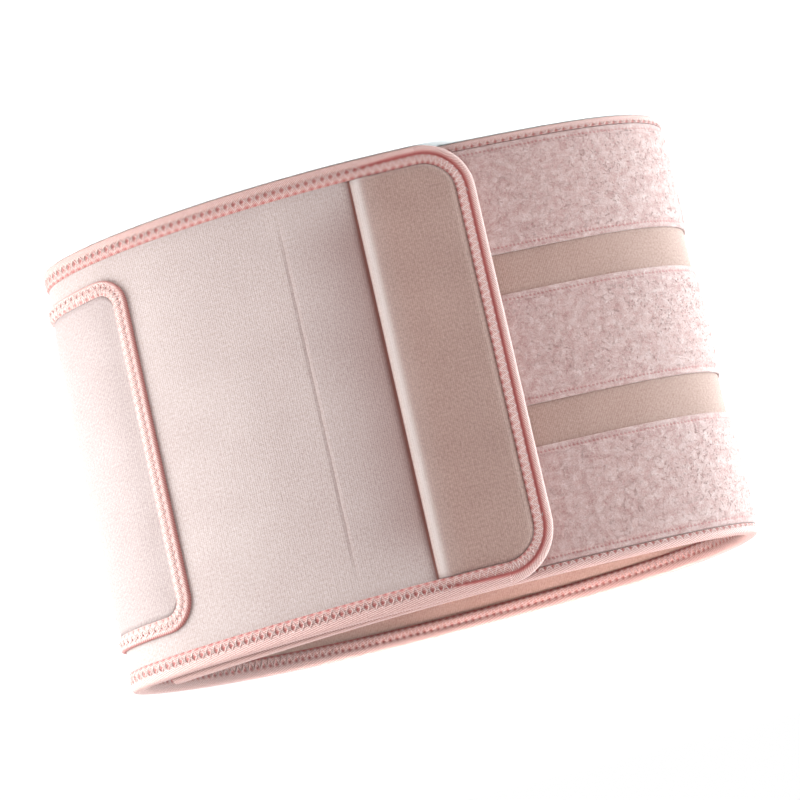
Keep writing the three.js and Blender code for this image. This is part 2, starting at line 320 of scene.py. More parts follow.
def paint_shade_and_highlight(tree, colour, seam):
    """Paints a cream highlight on folds, and paints shade in the given colour in seams and holes."""
    # Both attributes hold painted light: a painted highlight on folds and painted shade in seams and holes
    painted_highlight = put(tree, "Attribute", attribute_name="painted_highlight").outputs["Fac"]
    depth = put(tree, "Attribute", attribute_name="painted_shade").outputs["Fac"]
    return mix_of(tree, depth, mix_of(tree, painted_highlight, colour, HIGHLIGHT_CREAM), seam)


def finish_cloth(tree, shader, colour, height, relief, sheen, roughness=0.88):
    """Sets the cloth's colour, relief in metres and soft sheen on its shader."""
    tree.links.new(colour, shader.inputs["Base Color"])
    bump = put(tree, "Bump", {"Strength": 1.0, "Distance": relief, "Height": height})
    tree.links.new(bump.outputs["Normal"], shader.inputs["Normal"])
    shader.inputs["Roughness"].default_value = roughness
    shader.inputs["Specular IOR Level"].default_value = 0.25
    shader.inputs["Sheen Weight"].default_value = sheen
    shader.inputs["Sheen Roughness"].default_value = 0.5
    shader.inputs["Sheen Tint"].default_value = SHEEN_TINT


def knit_material(name, dark, light, columns=1000.0, rows=1150.0, relief=0.00009, sheen=0.3):
    """Knit cloth whose stitches go from dark to light, with shade painted brown in seams and the crease and a
    highlight painted cream on folds.
    """
    material, tree, shader = make_tree(name)
    cloth = cloth_uv(tree)
    knit = put(tree, "Group", {"Cloth": cloth, "Columns": columns, "Rows": rows}, node_tree=knit_group)
    wash = put(tree, "TexNoise", {"Vector": cloth, "Scale": 32.0, "Detail": 3.0})
    tone = sum_of(tree, "MULTIPLY_ADD", wash.outputs["Fac"], 0.35, knit.outputs["Tone"])
    spread = put(tree, "MapRange", {"Value": tone, "From Min": 0.5, "From Max": 1.2})
    colour = mix_of(tree, spread.outputs["Result"], dark, light)
    painted_shade = paint_shade_and_highlight(tree, colour, SHADE_BROWN)
    finish_cloth(tree, shader, painted_shade, knit.outputs["Height"], relief, sheen=sheen)
    return material


SHEEN_TINT = (1.0, 0.93, 0.92, 1.0)
# Cream of the highlight painted on folds
HIGHLIGHT_CREAM = (0.56, 0.45, 0.43, 1.0)
KNIT_DARK = (0.285, 0.189, 0.176, 1.0)
KNIT_LIGHT = (0.433, 0.322, 0.302, 1.0)
SMOOTH_DARK = (0.235, 0.116, 0.091, 1.0)
SMOOTH_LIGHT = (0.365, 0.213, 0.18, 1.0)
LINING_DARK = (0.33, 0.17, 0.134, 1.0)
LINING_LIGHT = (0.48, 0.293, 0.251, 1.0)
# Brown of the shade painted in the seam's groove, beside the seam and in the crease
SHADE_BROWN = (0.15, 0.045, 0.035, 1.0)
END_PANEL_WIDTH = 55.0
END_PANEL_FROM = STRIP_LENGTH - END_PANEL_WIDTH
CREASE_AT = STRIP_LENGTH - 90.0
CREASE_DEPTH = 0.3
CREASE_WIDTH = 0.9
CREASE_RISE = 0.45
CREASE_REACH = 20.0
SEAM_DIP = 0.75
SEAM_REACH = 17.0
SEAM_GROOVE_DEPTH = 0.55
SEAM_GROOVE_WIDTH = 1.6
# Strength and reach of a broad shade painted beside the end panel's seam, and of a shade painted in the
# crease
SEAM_SHADE = 0.42
SEAM_SHADE_REACH = 20.0
CREASE_SHADE = 0.16
PUFF = 0.3
PUFF_FROM_EDGE = 13.0
PUFF_WIDTH = 3.5
LINING_PUFF_SHARE = 0.6
BODY_ROWS = 60
ROW_CROWDING = 0.055


def wave_of(along, up):
    """The slight unevenness of cloth that stands by itself."""
    return (
        0.22 * np.sin(along / 21.0 + 0.9) * np.sin(up / 34.0 + 0.4)
        + 0.16 * np.sin(along / 37.0 - up / 52.0)
        + 0.10 * np.sin(along / 11.0 + up / 17.0)
    )


def make_body():
    end = STRIP_LENGTH - BODY_EDGE
    radius = CORNER_RADIUS - BODY_EDGE
    along = stations(
        0.0, end, 3.5,
        fine=[(CREASE_AT - 3, CREASE_AT + 3, 0.4), (END_PANEL_FROM - 8, END_PANEL_FROM + 2, 0.6)],
        corners=(0.0, radius),
    )
    share = np.linspace(0.0, 1.0, BODY_ROWS)
    share = share - ROW_CROWDING * np.sin(2 * pi * share)
    cut = corner_cut(end - along, radius)
    low = (BODY_EDGE + cut)[:, None]
    high = (BELT_HEIGHT - BODY_EDGE - cut)[:, None]
    up = low + (high - low) * share[None, :]
    run = np.broadcast_to(along[:, None], up.shape)
    from_edge = np.minimum(up - low, high - up) + BODY_EDGE
    # The foam swells beside the stitching, and dips at the crease and at the end panel's seam
    puff = PUFF * np.exp(-((from_edge - PUFF_FROM_EDGE) / PUFF_WIDTH) ** 2)
    outer = np.full(up.shape, BODY_OUTER) - puff
    inside = smooth_step((from_edge - 10.0) / 30.0)
    crease = inside * np.exp(-((run - CREASE_AT) / CREASE_WIDTH) ** 2)
    bend_in = np.sqrt((run - CREASE_AT) ** 2 + 1.5 ** 2) / CREASE_REACH
    outer += CREASE_DEPTH * crease - CREASE_RISE * inside * np.clip(1 - bend_in, 0, 1)
    outer += SEAM_GROOVE_DEPTH * np.exp(-((run - END_PANEL_FROM + 0.6) / SEAM_GROOVE_WIDTH) ** 2)
    outer += SEAM_DIP * inside * np.exp(-((run - END_PANEL_FROM) / SEAM_REACH) ** 2)
    wave = wave_of(run, up) * smooth_step((from_edge - 9.0) / 25.0)
    wave = wave * smooth_step((run - CLIMB_TO - 8.0) / 30.0) * smooth_step((END_PANEL_FROM - run) / 20.0)
    outer = outer + wave
    inner = np.full(up.shape, BODY_INNER) + puff * LINING_PUFF_SHARE
    front = np.stack((run, up, outer), axis=2)
    back = np.stack((run, up, inner), axis=2)[:, ::-1]
    rings = np.concatenate((front, back, front[:, :1]), axis=1)
    # Painted shade: a dark line in the seam's groove, a broad shade beside the end panel's seam, and a line
    # of shade in the crease
    seam = np.exp(-((run - END_PANEL_FROM + 0.2) / 1.1) ** 2) * (run < END_PANEL_FROM + 3)
    seam = seam + 0.15 * np.exp(-((run - END_PANEL_FROM) / 4.0) ** 2) + CREASE_SHADE * crease
    wide_shade = SEAM_SHADE * inside * np.exp(-((run - END_PANEL_FROM) / SEAM_SHADE_REACH) ** 2)
    seam = np.clip(seam + wide_shade, 0, 1)
    seam = np.concatenate((seam, np.zeros_like(seam), seam[:, :1]), axis=1)
    return make_cloth(
        "belt_strip", rings, painted_shade=seam, lining_beyond=(BODY_OUTER + BODY_INNER) / 2, smooth_before=CLIMB_TO)


belt_strip = make_body()
for knit in (
    knit_material("outer_knit", KNIT_DARK, KNIT_LIGHT),
    knit_material("lining_knit", LINING_DARK, LINING_LIGHT, columns=1100.0, rows=1200.0, relief=0.00008),
    knit_material("smooth_knit", SMOOTH_DARK, SMOOTH_LIGHT, columns=1200.0, rows=1200.0, relief=0.00006),
):
    belt_strip.data.materials.append(knit)
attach(belt_strip, "root")
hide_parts("belt_body")

# The edge tape is a soft knitted tape folded over the strip's edges, so that a roll stands at the edge.
# It is sewn down with two needle rows, whose holes sink into the cloth.
TAPE_LIP = 9.5
STITCH_PITCH = 3.75
TAPE_STEP = STITCH_PITCH / 5
LOOP_SIDE_END = 328.0
LOOP_SIDE_HOLES = 3.6
LINING_SIDE_HOLES = 4.4
OUTER_HOLES = 5.3
GROOVE_AT = 3.9
INNER_HOLES = 8.5
HOLE_DEPTH = 0.36
HOLE_WIDTH = 0.85
HOLE_LENGTH = 0.58
LOOP_SIDE_HOLE_SHARE = 0.4
DASH_DEPTH = 0.4
DASH_WIDTH = 0.55
DASH_LENGTH = 0.9
# Strength of a painted shadow line along the inner needle row, on the outer and lining sides
OUTER_LINE = 0.3
LINING_LINE = 0.65
DEEPEST_HOLE = 0.98
GROOVE_DEPTH = 0.75
GROOVE_WIDTH = 0.9
RIB_PITCH = 0.00125
# Strength and reach of the highlight painted along the tape's fold
FOLD_HIGHLIGHT = 0.12
FOLD_HIGHLIGHT_REACH = 2.4
# The tape's half section: distance from the edge, the same beside the loop bands, and depth
TAPE_SECTION = np.array([
    (0.00, 0.00, 2.55),
    (0.02, 0.02, 1.70),
    (0.14, 0.12, 1.00),
    (0.45, 0.36, 0.50),
    (0.95, 0.72, 0.18),
    (1.65, 1.20, 0.00),
    (2.50, 1.80, -0.05),
    (3.20, 2.30, -0.02),
    (3.80, 2.80, 0.08),
    (4.30, 3.20, 0.22),
    (4.80, 3.55, 0.32),
    (5.20, 3.75, 0.27),
    (5.70, 3.90, 0.16),
    (6.30, 4.00, 0.08),
    (7.00, 4.05, 0.06),
    (7.60, 4.10, 0.10),
    (8.10, 4.14, 0.20),
    (8.50, 4.18, 0.40),
    (8.80, 4.20, 0.62),
    (9.05, 4.22, 1.00),
])
TAPE_INSIDE = np.array([(8.4, 3.9, 1.08), (5.0, 3.0, 1.00), (1.6, 1.6, 1.00)])
TAPE_DARK = (0.25, 0.09, 0.085, 1.0)
TAPE_LIGHT = (0.66, 0.42, 0.38, 1.0)
# Rose of the shade painted in needle holes, along the groove and between the needle rows
SHADE_ROSE = (0.34, 0.08, 0.073, 1.0)
THREAD_COLOUR = (0.62, 0.43, 0.4, 1.0)
THREAD_RADIUS = 0.21


def near_stitch(travelled, offset=0.0):
    """The distance along the seam to the nearest needle hole."""
    return np.abs((travelled / STITCH_PITCH + offset + 0.5) % 1.0 - 0.5) * STITCH_PITCH


def tape_rings(along, up, in_along, in_up, travelled, groove):
    """The folded tape's rings along an edge, its cloth map, its holes, the shade painted in them, and the
    highlight painted on its fold.
    """
    narrow = (along <= LOOP_SIDE_END)[:, None]
    outer_half = np.where(narrow, TAPE_SECTION[None, :, 1], TAPE_SECTION[None, :, 0])
    inner_half = np.broadcast_to(TAPE_SECTION[None, :, 0], outer_half.shape)
    travelled = travelled[:, None]
    groove = groove[:, None]

    def relief(distance, first_row, line, depth=HOLE_DEPTH):
        """How deep the needle rows and the groove are at a distance from the edge, and the shade painted in
        them.
        """
        first_row = first_row + (GROOVE_AT - first_row) * groove
        across = ((distance - first_row) / HOLE_WIDTH) ** 2
        hole = (1 - groove) * np.exp(-across - (near_stitch(travelled) / HOLE_LENGTH) ** 2)
        across = ((distance - INNER_HOLES) / DASH_WIDTH) ** 2
        dash = np.exp(-across - (near_stitch(travelled, 0.5) / DASH_LENGTH) ** 2)
        dash = np.maximum(dash, line * np.exp(-((distance - INNER_HOLES - 0.25) / 0.35) ** 2))
        channel = groove * np.exp(-((distance - first_row) / GROOVE_WIDTH) ** 2)
        between = 0.14 * np.exp(-((distance - 6.6) / 2.0) ** 2)
        # The holes, the dashes and line of the inner row, the groove and a band between the rows get painted
        # shade
        deep = np.clip(1.3 * (hole + dash + channel) + between, 0, 1)
        return depth * hole + DASH_DEPTH * dash + GROOVE_DEPTH * channel, deep

    outer_row = np.where(narrow, LOOP_SIDE_HOLES, OUTER_HOLES)
    outer_hole_depth = np.where(narrow, LOOP_SIDE_HOLE_SHARE, 1.0) * HOLE_DEPTH
    outer_dip, outer_painted_shade = relief(outer_half, outer_row, OUTER_LINE, outer_hole_depth)
    inner_dip, inner_painted_shade = relief(inner_half, LINING_SIDE_HOLES, LINING_LINE)
    section_depth = TAPE_SECTION[None, :, 2]
    deepest = np.maximum(section_depth, DEEPEST_HOLE)
    outer_depth = np.minimum(section_depth + outer_dip, deepest)
    inner_depth = np.minimum(section_depth + inner_dip, deepest)
    inside_outer = np.where(narrow, TAPE_INSIDE[None, :, 1], TAPE_INSIDE[None, :, 0])
    inside_inner = np.broadcast_to(TAPE_INSIDE[None, :, 0], inside_outer.shape)
    inside_depth = np.broadcast_to(TAPE_INSIDE[None, :, 2], inside_outer.shape)
    distance = np.concatenate((
        outer_half[:, ::-1], inner_half[:, 1:],
        inside_inner, inside_outer[:, ::-1], outer_half[:, -1:],
    ), axis=1)
    depth = np.concatenate((
        outer_depth[:, ::-1], TAPE_THICKNESS - inner_depth[:, 1:],
        TAPE_THICKNESS - inside_depth, inside_depth[:, ::-1], outer_depth[:, -1:],
    ), axis=1)
    painted_shade = np.concatenate((
        outer_painted_shade[:, ::-1], inner_painted_shade[:, 1:],
        inside_inner * 0, inside_outer * 0, outer_painted_shade[:, -1:],
    ), axis=1)
    rings = np.stack((
        along[:, None] + in_along[:, None] * distance,
        up[:, None] + in_up[:, None] * distance,
        depth,
    ), axis=2)
    # The cloth map measures from the fold over the tape's face
    wide_reach, narrow_reach = [
        np.concatenate(([0.0], np.cumsum(np.hypot(np.diff(TAPE_SECTION[:, k]), np.diff(TAPE_SECTION[:, 2])))))
        for k in (0, 1)
    ]
    inner_reach = np.broadcast_to(wide_reach[None, :], outer_half.shape)
    outer_reach = np.where(narrow, narrow_reach[None, :], wide_reach[None, :])
    from_fold = np.concatenate((
        outer_reach[:, ::-1], -inner_reach[:, 1:],
        -inside_inner, inside_outer[:, ::-1], outer_reach[:, -1:],
    ), axis=1)
    pattern = np.stack((np.broadcast_to(travelled, distance.shape), from_fold), axis=2)
    # A painted highlight along the tape's fold
    painted_highlight = FOLD_HIGHLIGHT * np.exp(-(from_fold / FOLD_HIGHLIGHT_REACH) ** 2)
    return rings, pattern, painted_shade, painted_highlight


def straight_run(start, end, up, in_up):
    """An edge along the strip at one height, from start to end."""
    count = int(round(abs(end - start) / TAPE_STEP)) + 1
    along = np.linspace(start, end, count)
    ones = np.ones(count)
    return np.stack((along, ones * up, ones * 0, ones * in_up), axis=1)


def upright_run(along, start, end, in_along):
    """An edge that runs up or down the strip, from start to end."""
    count = int(round(abs(end - start) / TAPE_STEP)) + 1
    up = np.linspace(start, end, count)
    ones = np.ones(count)
    return np.stack((ones * along, up, ones * in_along, ones * 0), axis=1)


def corner_run(centre_along, centre_up, radius, from_angle):
    """A quarter turn of an edge round a rounded corner."""
    count = int(round(radius * pi / 2 / TAPE_STEP)) + 1
    angle = from_angle + np.linspace(0, pi / 2, count)
    c = np.cos(angle)
    s = np.sin(angle)
    return np.stack((centre_along + radius * c, centre_up + radius * s, -c, -s), axis=1)


def join_runs(*runs):
    """Joins runs of an edge, and measures how far each point has travelled along it."""
    edge = np.concatenate(runs)
    step = np.linalg.norm(np.diff(edge[:, :2], axis=0), axis=1)
    keep = np.concatenate(([True], step > 0.05))
    edge = edge[keep]
    step = np.linalg.norm(np.diff(edge[:, :2], axis=0), axis=1)
    return edge, np.concatenate(([0.0], np.cumsum(step)))


def make_thread_piece(name, routes, radius):
    """Sewing threads as one mesh of thin round strands. A route is flat points."""
    curve = bpy.data.curves.new(name, "CURVE")
    curve.dimensions = "3D"
    curve.bevel_depth = radius * MILLIMETRE
    curve.bevel_resolution = 0
    curve.use_fill_caps = True
    for route in routes:
        strand = curve.splines.new("POLY")
        strand.points.add(len(route) - 1)
        placed = np.column_stack((bend(route), np.ones(len(route))))
        strand.points.foreach_set("co", placed.ravel())
    drawn = bpy.data.objects.new(name + "_drawn", curve)
    bpy.context.collection.objects.link(drawn)
    bpy.context.view_layer.update()
    mesh = bpy.data.meshes.new_from_object(drawn)
    mesh.name = name
    bpy.data.objects.remove(drawn)
    bpy.data.curves.remove(curve)
    mesh.shade_smooth()
    piece = bpy.data.objects.new(name, mesh)
    bpy.context.collection.objects.link(piece)
    return piece


def zigzag(edge, travelled, near, far, low, high, offset=0.0):
    """A covering thread that swings between two distances from the edge once each stitch."""
    stops = np.arange(travelled[0], travelled[-1], STITCH_PITCH / 4)
    swing = 0.5 + 0.5 * np.cos(2 * pi * (stops / STITCH_PITCH + offset))
    distance = near + (far - near) * swing
    depth = low + (high - low) * np.sin(pi * swing) ** 2
    across = [np.interp(stops, travelled, edge[:, k]) for k in range(4)]
    return np.column_stack((across[0] + across[2] * distance, across[1] + across[3] * distance, depth))


def tape_material():
    """Soft tape: fine slanting ribs, with shade painted rose in its seams and holes and a highlight painted
    on its fold.
    """
    material, tree, shader = make_tree("soft_tape")
    cloth = cloth_uv(tree)
    place = put(tree, "SeparateXYZ", {0: cloth})
    wander = put(tree, "TexNoise", {"Vector": cloth, "Scale": 500.0, "Detail": 2.0})
    slanted = sum_of(tree, "MULTIPLY_ADD", place.outputs[1], 1.35, place.outputs[0])
    drift = sum_of(tree, "MULTIPLY", wander.outputs["Fac"], 2.5)
    turn = sum_of(tree, "MULTIPLY_ADD", slanted, 2 * pi / RIB_PITCH, drift)
    rib = sum_of(tree, "MULTIPLY_ADD", sum_of(tree, "SINE", turn), 0.5, 0.5)
    fluff = put(tree, "TexNoise", {"Vector": cloth, "Scale": 1500.0, "Detail": 3.0})
    height = sum_of(tree, "MULTIPLY_ADD", fluff.outputs["Fac"], 0.8, rib)
    tone = sum_of(tree, "MULTIPLY_ADD", rib, 0.8, sum_of(tree, "MULTIPLY", fluff.outputs["Fac"], 0.9))
    spread = put(tree, "MapRange", {"Value": tone, "From Min": 0.3, "From Max": 1.25})
    colour = mix_of(tree, spread.outputs["Result"], TAPE_DARK, TAPE_LIGHT)
    finish_cloth(
        tree, shader, paint_shade_and_highlight(tree, colour, SHADE_ROSE), height, 0.00012, roughness=0.85, sheen=0.08)
    return material


def thread_material():
    """Sewing thread: pale, twisted and faintly shiny."""
    material, tree, shader = make_tree("sewing_thread")
    spot = put(tree, "TexCoord").outputs["Object"]
    twist = put(tree, "TexNoise", {"Vector": spot, "Scale": 2600.0, "Detail": 1.0})
    darker = tuple(part * 0.72 for part in THREAD_COLOUR[:3]) + (1.0,)
    colour = mix_of(tree, twist.outputs["Fac"], darker, THREAD_COLOUR)
    finish_cloth(tree, shader, colour, twist.outputs["Fac"], 0.0001, roughness=0.7, sheen=0.0)
    return material


soft_tape = tape_material()
sewing_thread = thread_material()

FLAP_CORNER_FROM = STRIP_LENGTH - CORNER_RADIUS
lower_run = join_runs(straight_run(0.0, FLAP_CORNER_FROM, 0.0, 1.0))
upper_run = join_runs(straight_run(0.0, FLAP_CORNER_FROM, BELT_HEIGHT, -1.0))
flap_end_run = join_runs(
    corner_run(FLAP_CORNER_FROM, CORNER_RADIUS, CORNER_RADIUS, -pi / 2),
    upright_run(STRIP_LENGTH, CORNER_RADIUS, BELT_HEIGHT - CORNER_RADIUS, -1.0),
    corner_run(FLAP_CORNER_FROM, BELT_HEIGHT - CORNER_RADIUS, CORNER_RADIUS, 0.0),
)
# The flap end goes on from the lower edge, so that the stitches meet
flap_end_travelled = flap_end_run[1] + lower_run[1][-1]


def make_tape(name, node, edge, travelled):
    """The tape over one edge, with the threads of its needle rows."""
    along = edge[:, 0]
    groove = smooth_step((along - END_PANEL_FROM + 14.0) / 40.0)
    rings, pattern, painted_shade, painted_highlight = tape_rings(along, edge[:, 1], edge[:, 2], edge[:, 3], travelled, groove)
    tape = make_cloth(name, rings, pattern=pattern, painted_shade=painted_shade, painted_highlight=painted_highlight)
    tape.data.materials.append(soft_tape)
    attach(tape, "root")
    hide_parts(node)
    routes = []
    free = along > LOOP_SIDE_END + 1.0
    if free.any():
        routes.append(zigzag(edge[free], travelled[free], 8.4, 4.6, 0.20, -0.10, offset=0.5))
        plain = free & (groove < 0.5)
        if plain.any():
            routes.append(zigzag(edge[plain], travelled[plain], 6.2, 2.9, 0.10, -0.16))
    beside = (edge[~free], travelled[~free])
    if len(beside[0]) > 4:
        routes.append(zigzag(*beside, 4.0, 2.0, 0.34, -0.06))
    routes.append(zigzag(edge, travelled, 8.2, 3.9, TAPE_THICKNESS - 0.14, TAPE_THICKNESS + 0.10, offset=0.5))
    threads = make_thread_piece(name + "_threads", routes, THREAD_RADIUS)
    threads.data.materials.append(sewing_thread)
    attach(threads, "root")


make_tape("lower_tape", "lower_binding", *lower_run)
make_tape("upper_tape", "upper_binding", *upper_run)
make_tape("flap_end_tape", "flap_end_binding", flap_end_run[0], flap_end_travelled)

# The end panel is a second layer of knit cloth on the flap's end. Its free side is folded under, so
# that a soft round edge stands beside the seam, and its other sides lie under the tape.
PANEL_EDGE = 9.1
PANEL_THICKNESS = 1.0
PANEL_ROWS = 70
PANEL_TUCK_DEPTH = 0.62
PANEL_TUCK_WIDTH = 1.5
FOLD_RISE = 1.6
FOLD_CREST = 0.35
FOLD_CROWN = 6.0
FOLD_FADE = 4.0
PANEL_DARK = (0.203, 0.103, 0.085, 1.0)
PANEL_LIGHT = (0.345, 0.202, 0.17, 1.0)


def make_end_panel():
    start = END_PANEL_FROM
    end = STRIP_LENGTH - PANEL_EDGE
    radius = CORNER_RADIUS - PANEL_EDGE
    along = stations(start, end, 1.6, fine=[(start, start + 9, 0.3)], corners=(0.0, radius))
    share = np.linspace(0.0, 1.0, PANEL_ROWS)
    cut = corner_cut(end - along, radius)
    low = (PANEL_EDGE + cut)[:, None]
    high = (BELT_HEIGHT - PANEL_EDGE - cut)[:, None]
    up = low + (high - low) * share[None, :]
    run = np.broadcast_to(along[:, None], up.shape)
    to_tape = np.minimum(np.minimum(up - low, high - up), end - run)
    from_fold = run - start
    top = BODY_OUTER - SEAT_GAP - PANEL_THICKNESS
    outer = top + (PANEL_TUCK_DEPTH - top) * np.exp(-(to_tape / PANEL_TUCK_WIDTH) ** 2)
    rising = np.sqrt(np.clip(1 - ((FOLD_CROWN - from_fold) / FOLD_CROWN) ** 2, 0, 1))
    fading = np.exp(-(np.maximum(from_fold - FOLD_CROWN, 0) / FOLD_FADE) ** 2)
    turned_under = (FOLD_RISE - FOLD_CREST) * (1 - rising) * (from_fold < FOLD_CROWN)
    outer = outer - FOLD_CREST * rising * fading + turned_under
    inner = np.full(up.shape, BODY_OUTER + SEAT_GAP)
    front = np.stack((run, up, np.minimum(outer, inner - 0.05)), axis=2)
    back = np.stack((run, up, inner), axis=2)[:, ::-1]
    rings = np.concatenate((front, back, front[:, :1]), axis=1)
    # Painted shade in the seam beside the fold
    seam = 0.6 * np.exp(-(from_fold / 0.4) ** 2)
    seam = np.concatenate((seam, seam, seam[:, :1]), axis=1)
    # A painted highlight along the turned-under fold
    painted_fold_highlight = 0.5 * np.exp(-((from_fold - 2.6) / 2.2) ** 2) + 0.14 * np.exp(-(from_fold / 9.0) ** 2)
    painted_fold_highlight = np.concatenate((painted_fold_highlight, painted_fold_highlight * 0, painted_fold_highlight[:, :1]), axis=1)
    return make_cloth("end_panel_cloth", rings, painted_shade=seam, painted_highlight=painted_fold_highlight)


end_panel = make_end_panel()
end_panel.data.materials.append(knit_material("end_panel_knit", PANEL_DARK, PANEL_LIGHT, columns=1050.0))
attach(end_panel, "root")
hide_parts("end_panel")

# Three bands of brushed loop pile are sewn on the covered part of the strip, for the hook patch to
# grip. Each has a smooth woven margin with a needle row, and a fleecy pile between the rows.
BAND_HEIGHT = 51.0
BAND_THICKNESS = 1.4
BAND_LENGTH = 202.0
BAND_MARGIN = 4.5
BAND_TO_PANEL = 2.0
BAND_PITCH = (BELT_HEIGHT - 2 * BAND_MARGIN - BAND_HEIGHT) / 2
BAND_STITCH = 1.95
BAND_STEP = BAND_STITCH / 3
BAND_ROWS = 80
SELVEDGE = 2.6
PILE_RELIEF = 0.13
BAND_DARK = (0.275, 0.124, 0.114, 1.0)
BAND_LIGHT = (0.475, 0.325, 0.302, 1.0)
PILE_LOOPS = 3000
PILE_RADIUS = 0.08
PILE_LIFT = (0.12, 0.34)
PILE_REACH = (0.35, 0.9)
PILE_BOW = 0.6


def fleece(shape, size, seed):
    """Smooth random hills of about the given size in cells, from 0 to 1 around a middle of 0.5."""
    rng = np.random.default_rng(seed)
    field = rng.random(shape)
    fx = np.fft.fftfreq(shape[0])[:, None]
    fy = np.fft.fftfreq(shape[1])[None, :]
    soft = np.fft.ifft2(np.fft.fft2(field) * np.exp(-2 * (pi * size) ** 2 * (fx ** 2 + fy ** 2))).real
    soft -= soft.mean()
    return np.clip(0.5 + soft / (4 * soft.std()), 0, 1)


def pile_material():
    """Brushed pile: fine curly fibres in clumps, lighter at their tips, with shade painted rose in its needle
    holes.
    """
    material, tree, shader = make_tree("brushed_pile")
    cloth = cloth_uv(tree)
    clumps = put(tree, "TexNoise", {"Vector": cloth, "Scale": 230.0, "Detail": 4.0, "Roughness": 0.65})
    curls = put(tree, "TexNoise", {"Vector": cloth, "Scale": 1100.0, "Detail": 4.0, "Distortion": 1.5})
    height = sum_of(tree, "MULTIPLY_ADD", curls.outputs["Fac"], 1.0, clumps.outputs["Fac"])
    spread = put(tree, "MapRange", {"Value": height, "From Min": 0.68, "From Max": 1.34})
    colour = mix_of(tree, spread.outputs["Result"], BAND_DARK, BAND_LIGHT)
    finish_cloth(
        tree, shader, paint_shade_and_highlight(tree, colour, SHADE_ROSE), height, 0.00013, roughness=0.95, sheen=0.2)
    return material


def curl_material():
    """The pile's fibres, in the same pinks as the pile under them."""
    material, tree, shader = make_tree("pile_fibre")
    spot = put(tree, "TexCoord").outputs["Object"]
    patch = put(tree, "TexNoise", {"Vector": spot, "Scale": 420.0, "Detail": 2.0})
    colour = mix_of(tree, patch.outputs["Fac"], BAND_DARK, BAND_LIGHT)
    finish_cloth(tree, shader, colour, patch.outputs["Fac"], 0.0001, roughness=0.9, sheen=0.15)
    return material


brushed_pile = pile_material()
pile_thread = curl_material()


def make_band(name, node, low, seed):
    """One band of loop pile from a height up, with the loose fibres that stand on it."""
    end = LOOP_SIDE_END - BAND_TO_PANEL
    start = end - BAND_LENGTH
    columns = int(round(BAND_LENGTH / BAND_STEP)) + 1
    along = np.linspace(start, end, columns)
    up = low + np.linspace(0, BAND_HEIGHT, BAND_ROWS)
    run, height = np.meshgrid(along, up, indexing="ij")
    to_side = np.minimum(height - low, low + BAND_HEIGHT - height)
    to_end = np.minimum(run - start, end - run)
    hills = 0.6 * fleece(run.shape, 1.6, seed) + 0.4 * fleece(run.shape, 4.5, seed + 1)
    pile = smooth_step((to_side - SELVEDGE) / 2.0)
    face = BODY_OUTER - SEAT_GAP - BAND_THICKNESS
    outer = face + 0.55 - (0.35 + PILE_RELIEF * hills * 1.6) * pile
    outer = outer + 0.35 * np.exp(-(to_side / 0.5) ** 2) + 0.3 * np.exp(-(to_end / 0.8) ** 2)
    stitch = np.abs(((run - start) / BAND_STITCH + 0.5) % 1.0 - 0.5) * BAND_STITCH
    hole = np.exp(-((to_side - SELVEDGE) / 0.42) ** 2 - (stitch / 0.45) ** 2)
    outer = outer + 0.5 * hole
    inner = np.full((columns, 2), BODY_OUTER - 0.05)
    front = np.stack((run, height, np.minimum(outer, BODY_OUTER - 0.15)), axis=2)
    back_up = np.column_stack((np.full(columns, low + BAND_HEIGHT), np.full(columns, low)))
    back = np.stack((np.column_stack((along, along)), back_up, inner), axis=2)
    rings = np.concatenate((front, back, front[:, :1]), axis=1)
    # Painted shade in the needle holes
    painted_shade = np.concatenate((0.85 * hole, np.zeros((columns, 2)), hole[:, :1]), axis=1)
    band = make_cloth(name, rings, painted_shade=painted_shade)
    band.data.materials.append(brushed_pile)
    rng = np.random.default_rng(seed + 2)
    routes = []
    shown_from = OVERLAP - 4.0
    pile_low = low + SELVEDGE + 1
    pile_high = low + BAND_HEIGHT - SELVEDGE - 1
    t = np.linspace(-1, 1, 4)
    for _ in range(PILE_LOOPS):
        middle_along = rng.uniform(shown_from, end - 2)
        middle_up = rng.uniform(pile_low, pile_high)
        heading = rng.uniform(0, 2 * pi)
        reach = rng.uniform(*PILE_REACH)
        bow = rng.uniform(-PILE_BOW, PILE_BOW)
        lift = rng.uniform(*PILE_LIFT)
        side = bow * (1 - t ** 2)
        x = middle_along + reach * t * np.cos(heading) - side * np.sin(heading)
        y = middle_up + reach * t * np.sin(heading) + side * np.cos(heading)
        depth = face - 0.05 + 0.3 - lift * (1 - t ** 2)
        routes.append(np.column_stack((x, y, depth)))
    curls = make_thread_piece(name + "_curls", routes, PILE_RADIUS)
    curls.data.materials.append(pile_thread)
    for piece in (band, curls):
        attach(piece, "root")
    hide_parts(node)


for index, level in enumerate(("lower", "middle", "upper")):
    make_band(
        f"{level}_band", f"loop_band_{level}", BAND_MARGIN + index * BAND_PITCH, 11 + 10 * index)

# The hook patch is moulded tape sewn inside the flap's end. It is hidden, so it is one plain piece.
HOOK_WIDTH = 38.0
HOOK_MARGIN = 12.0
HOOK_THICKNESS = 1.2
HOOK_TO = STRIP_LENGTH - TAPE_LIP - SEAT_GAP
HOOK_LIGHT = (0.72, 0.48, 0.44, 1.0)
HOOK_DARK = (0.42, 0.22, 0.19, 1.0)


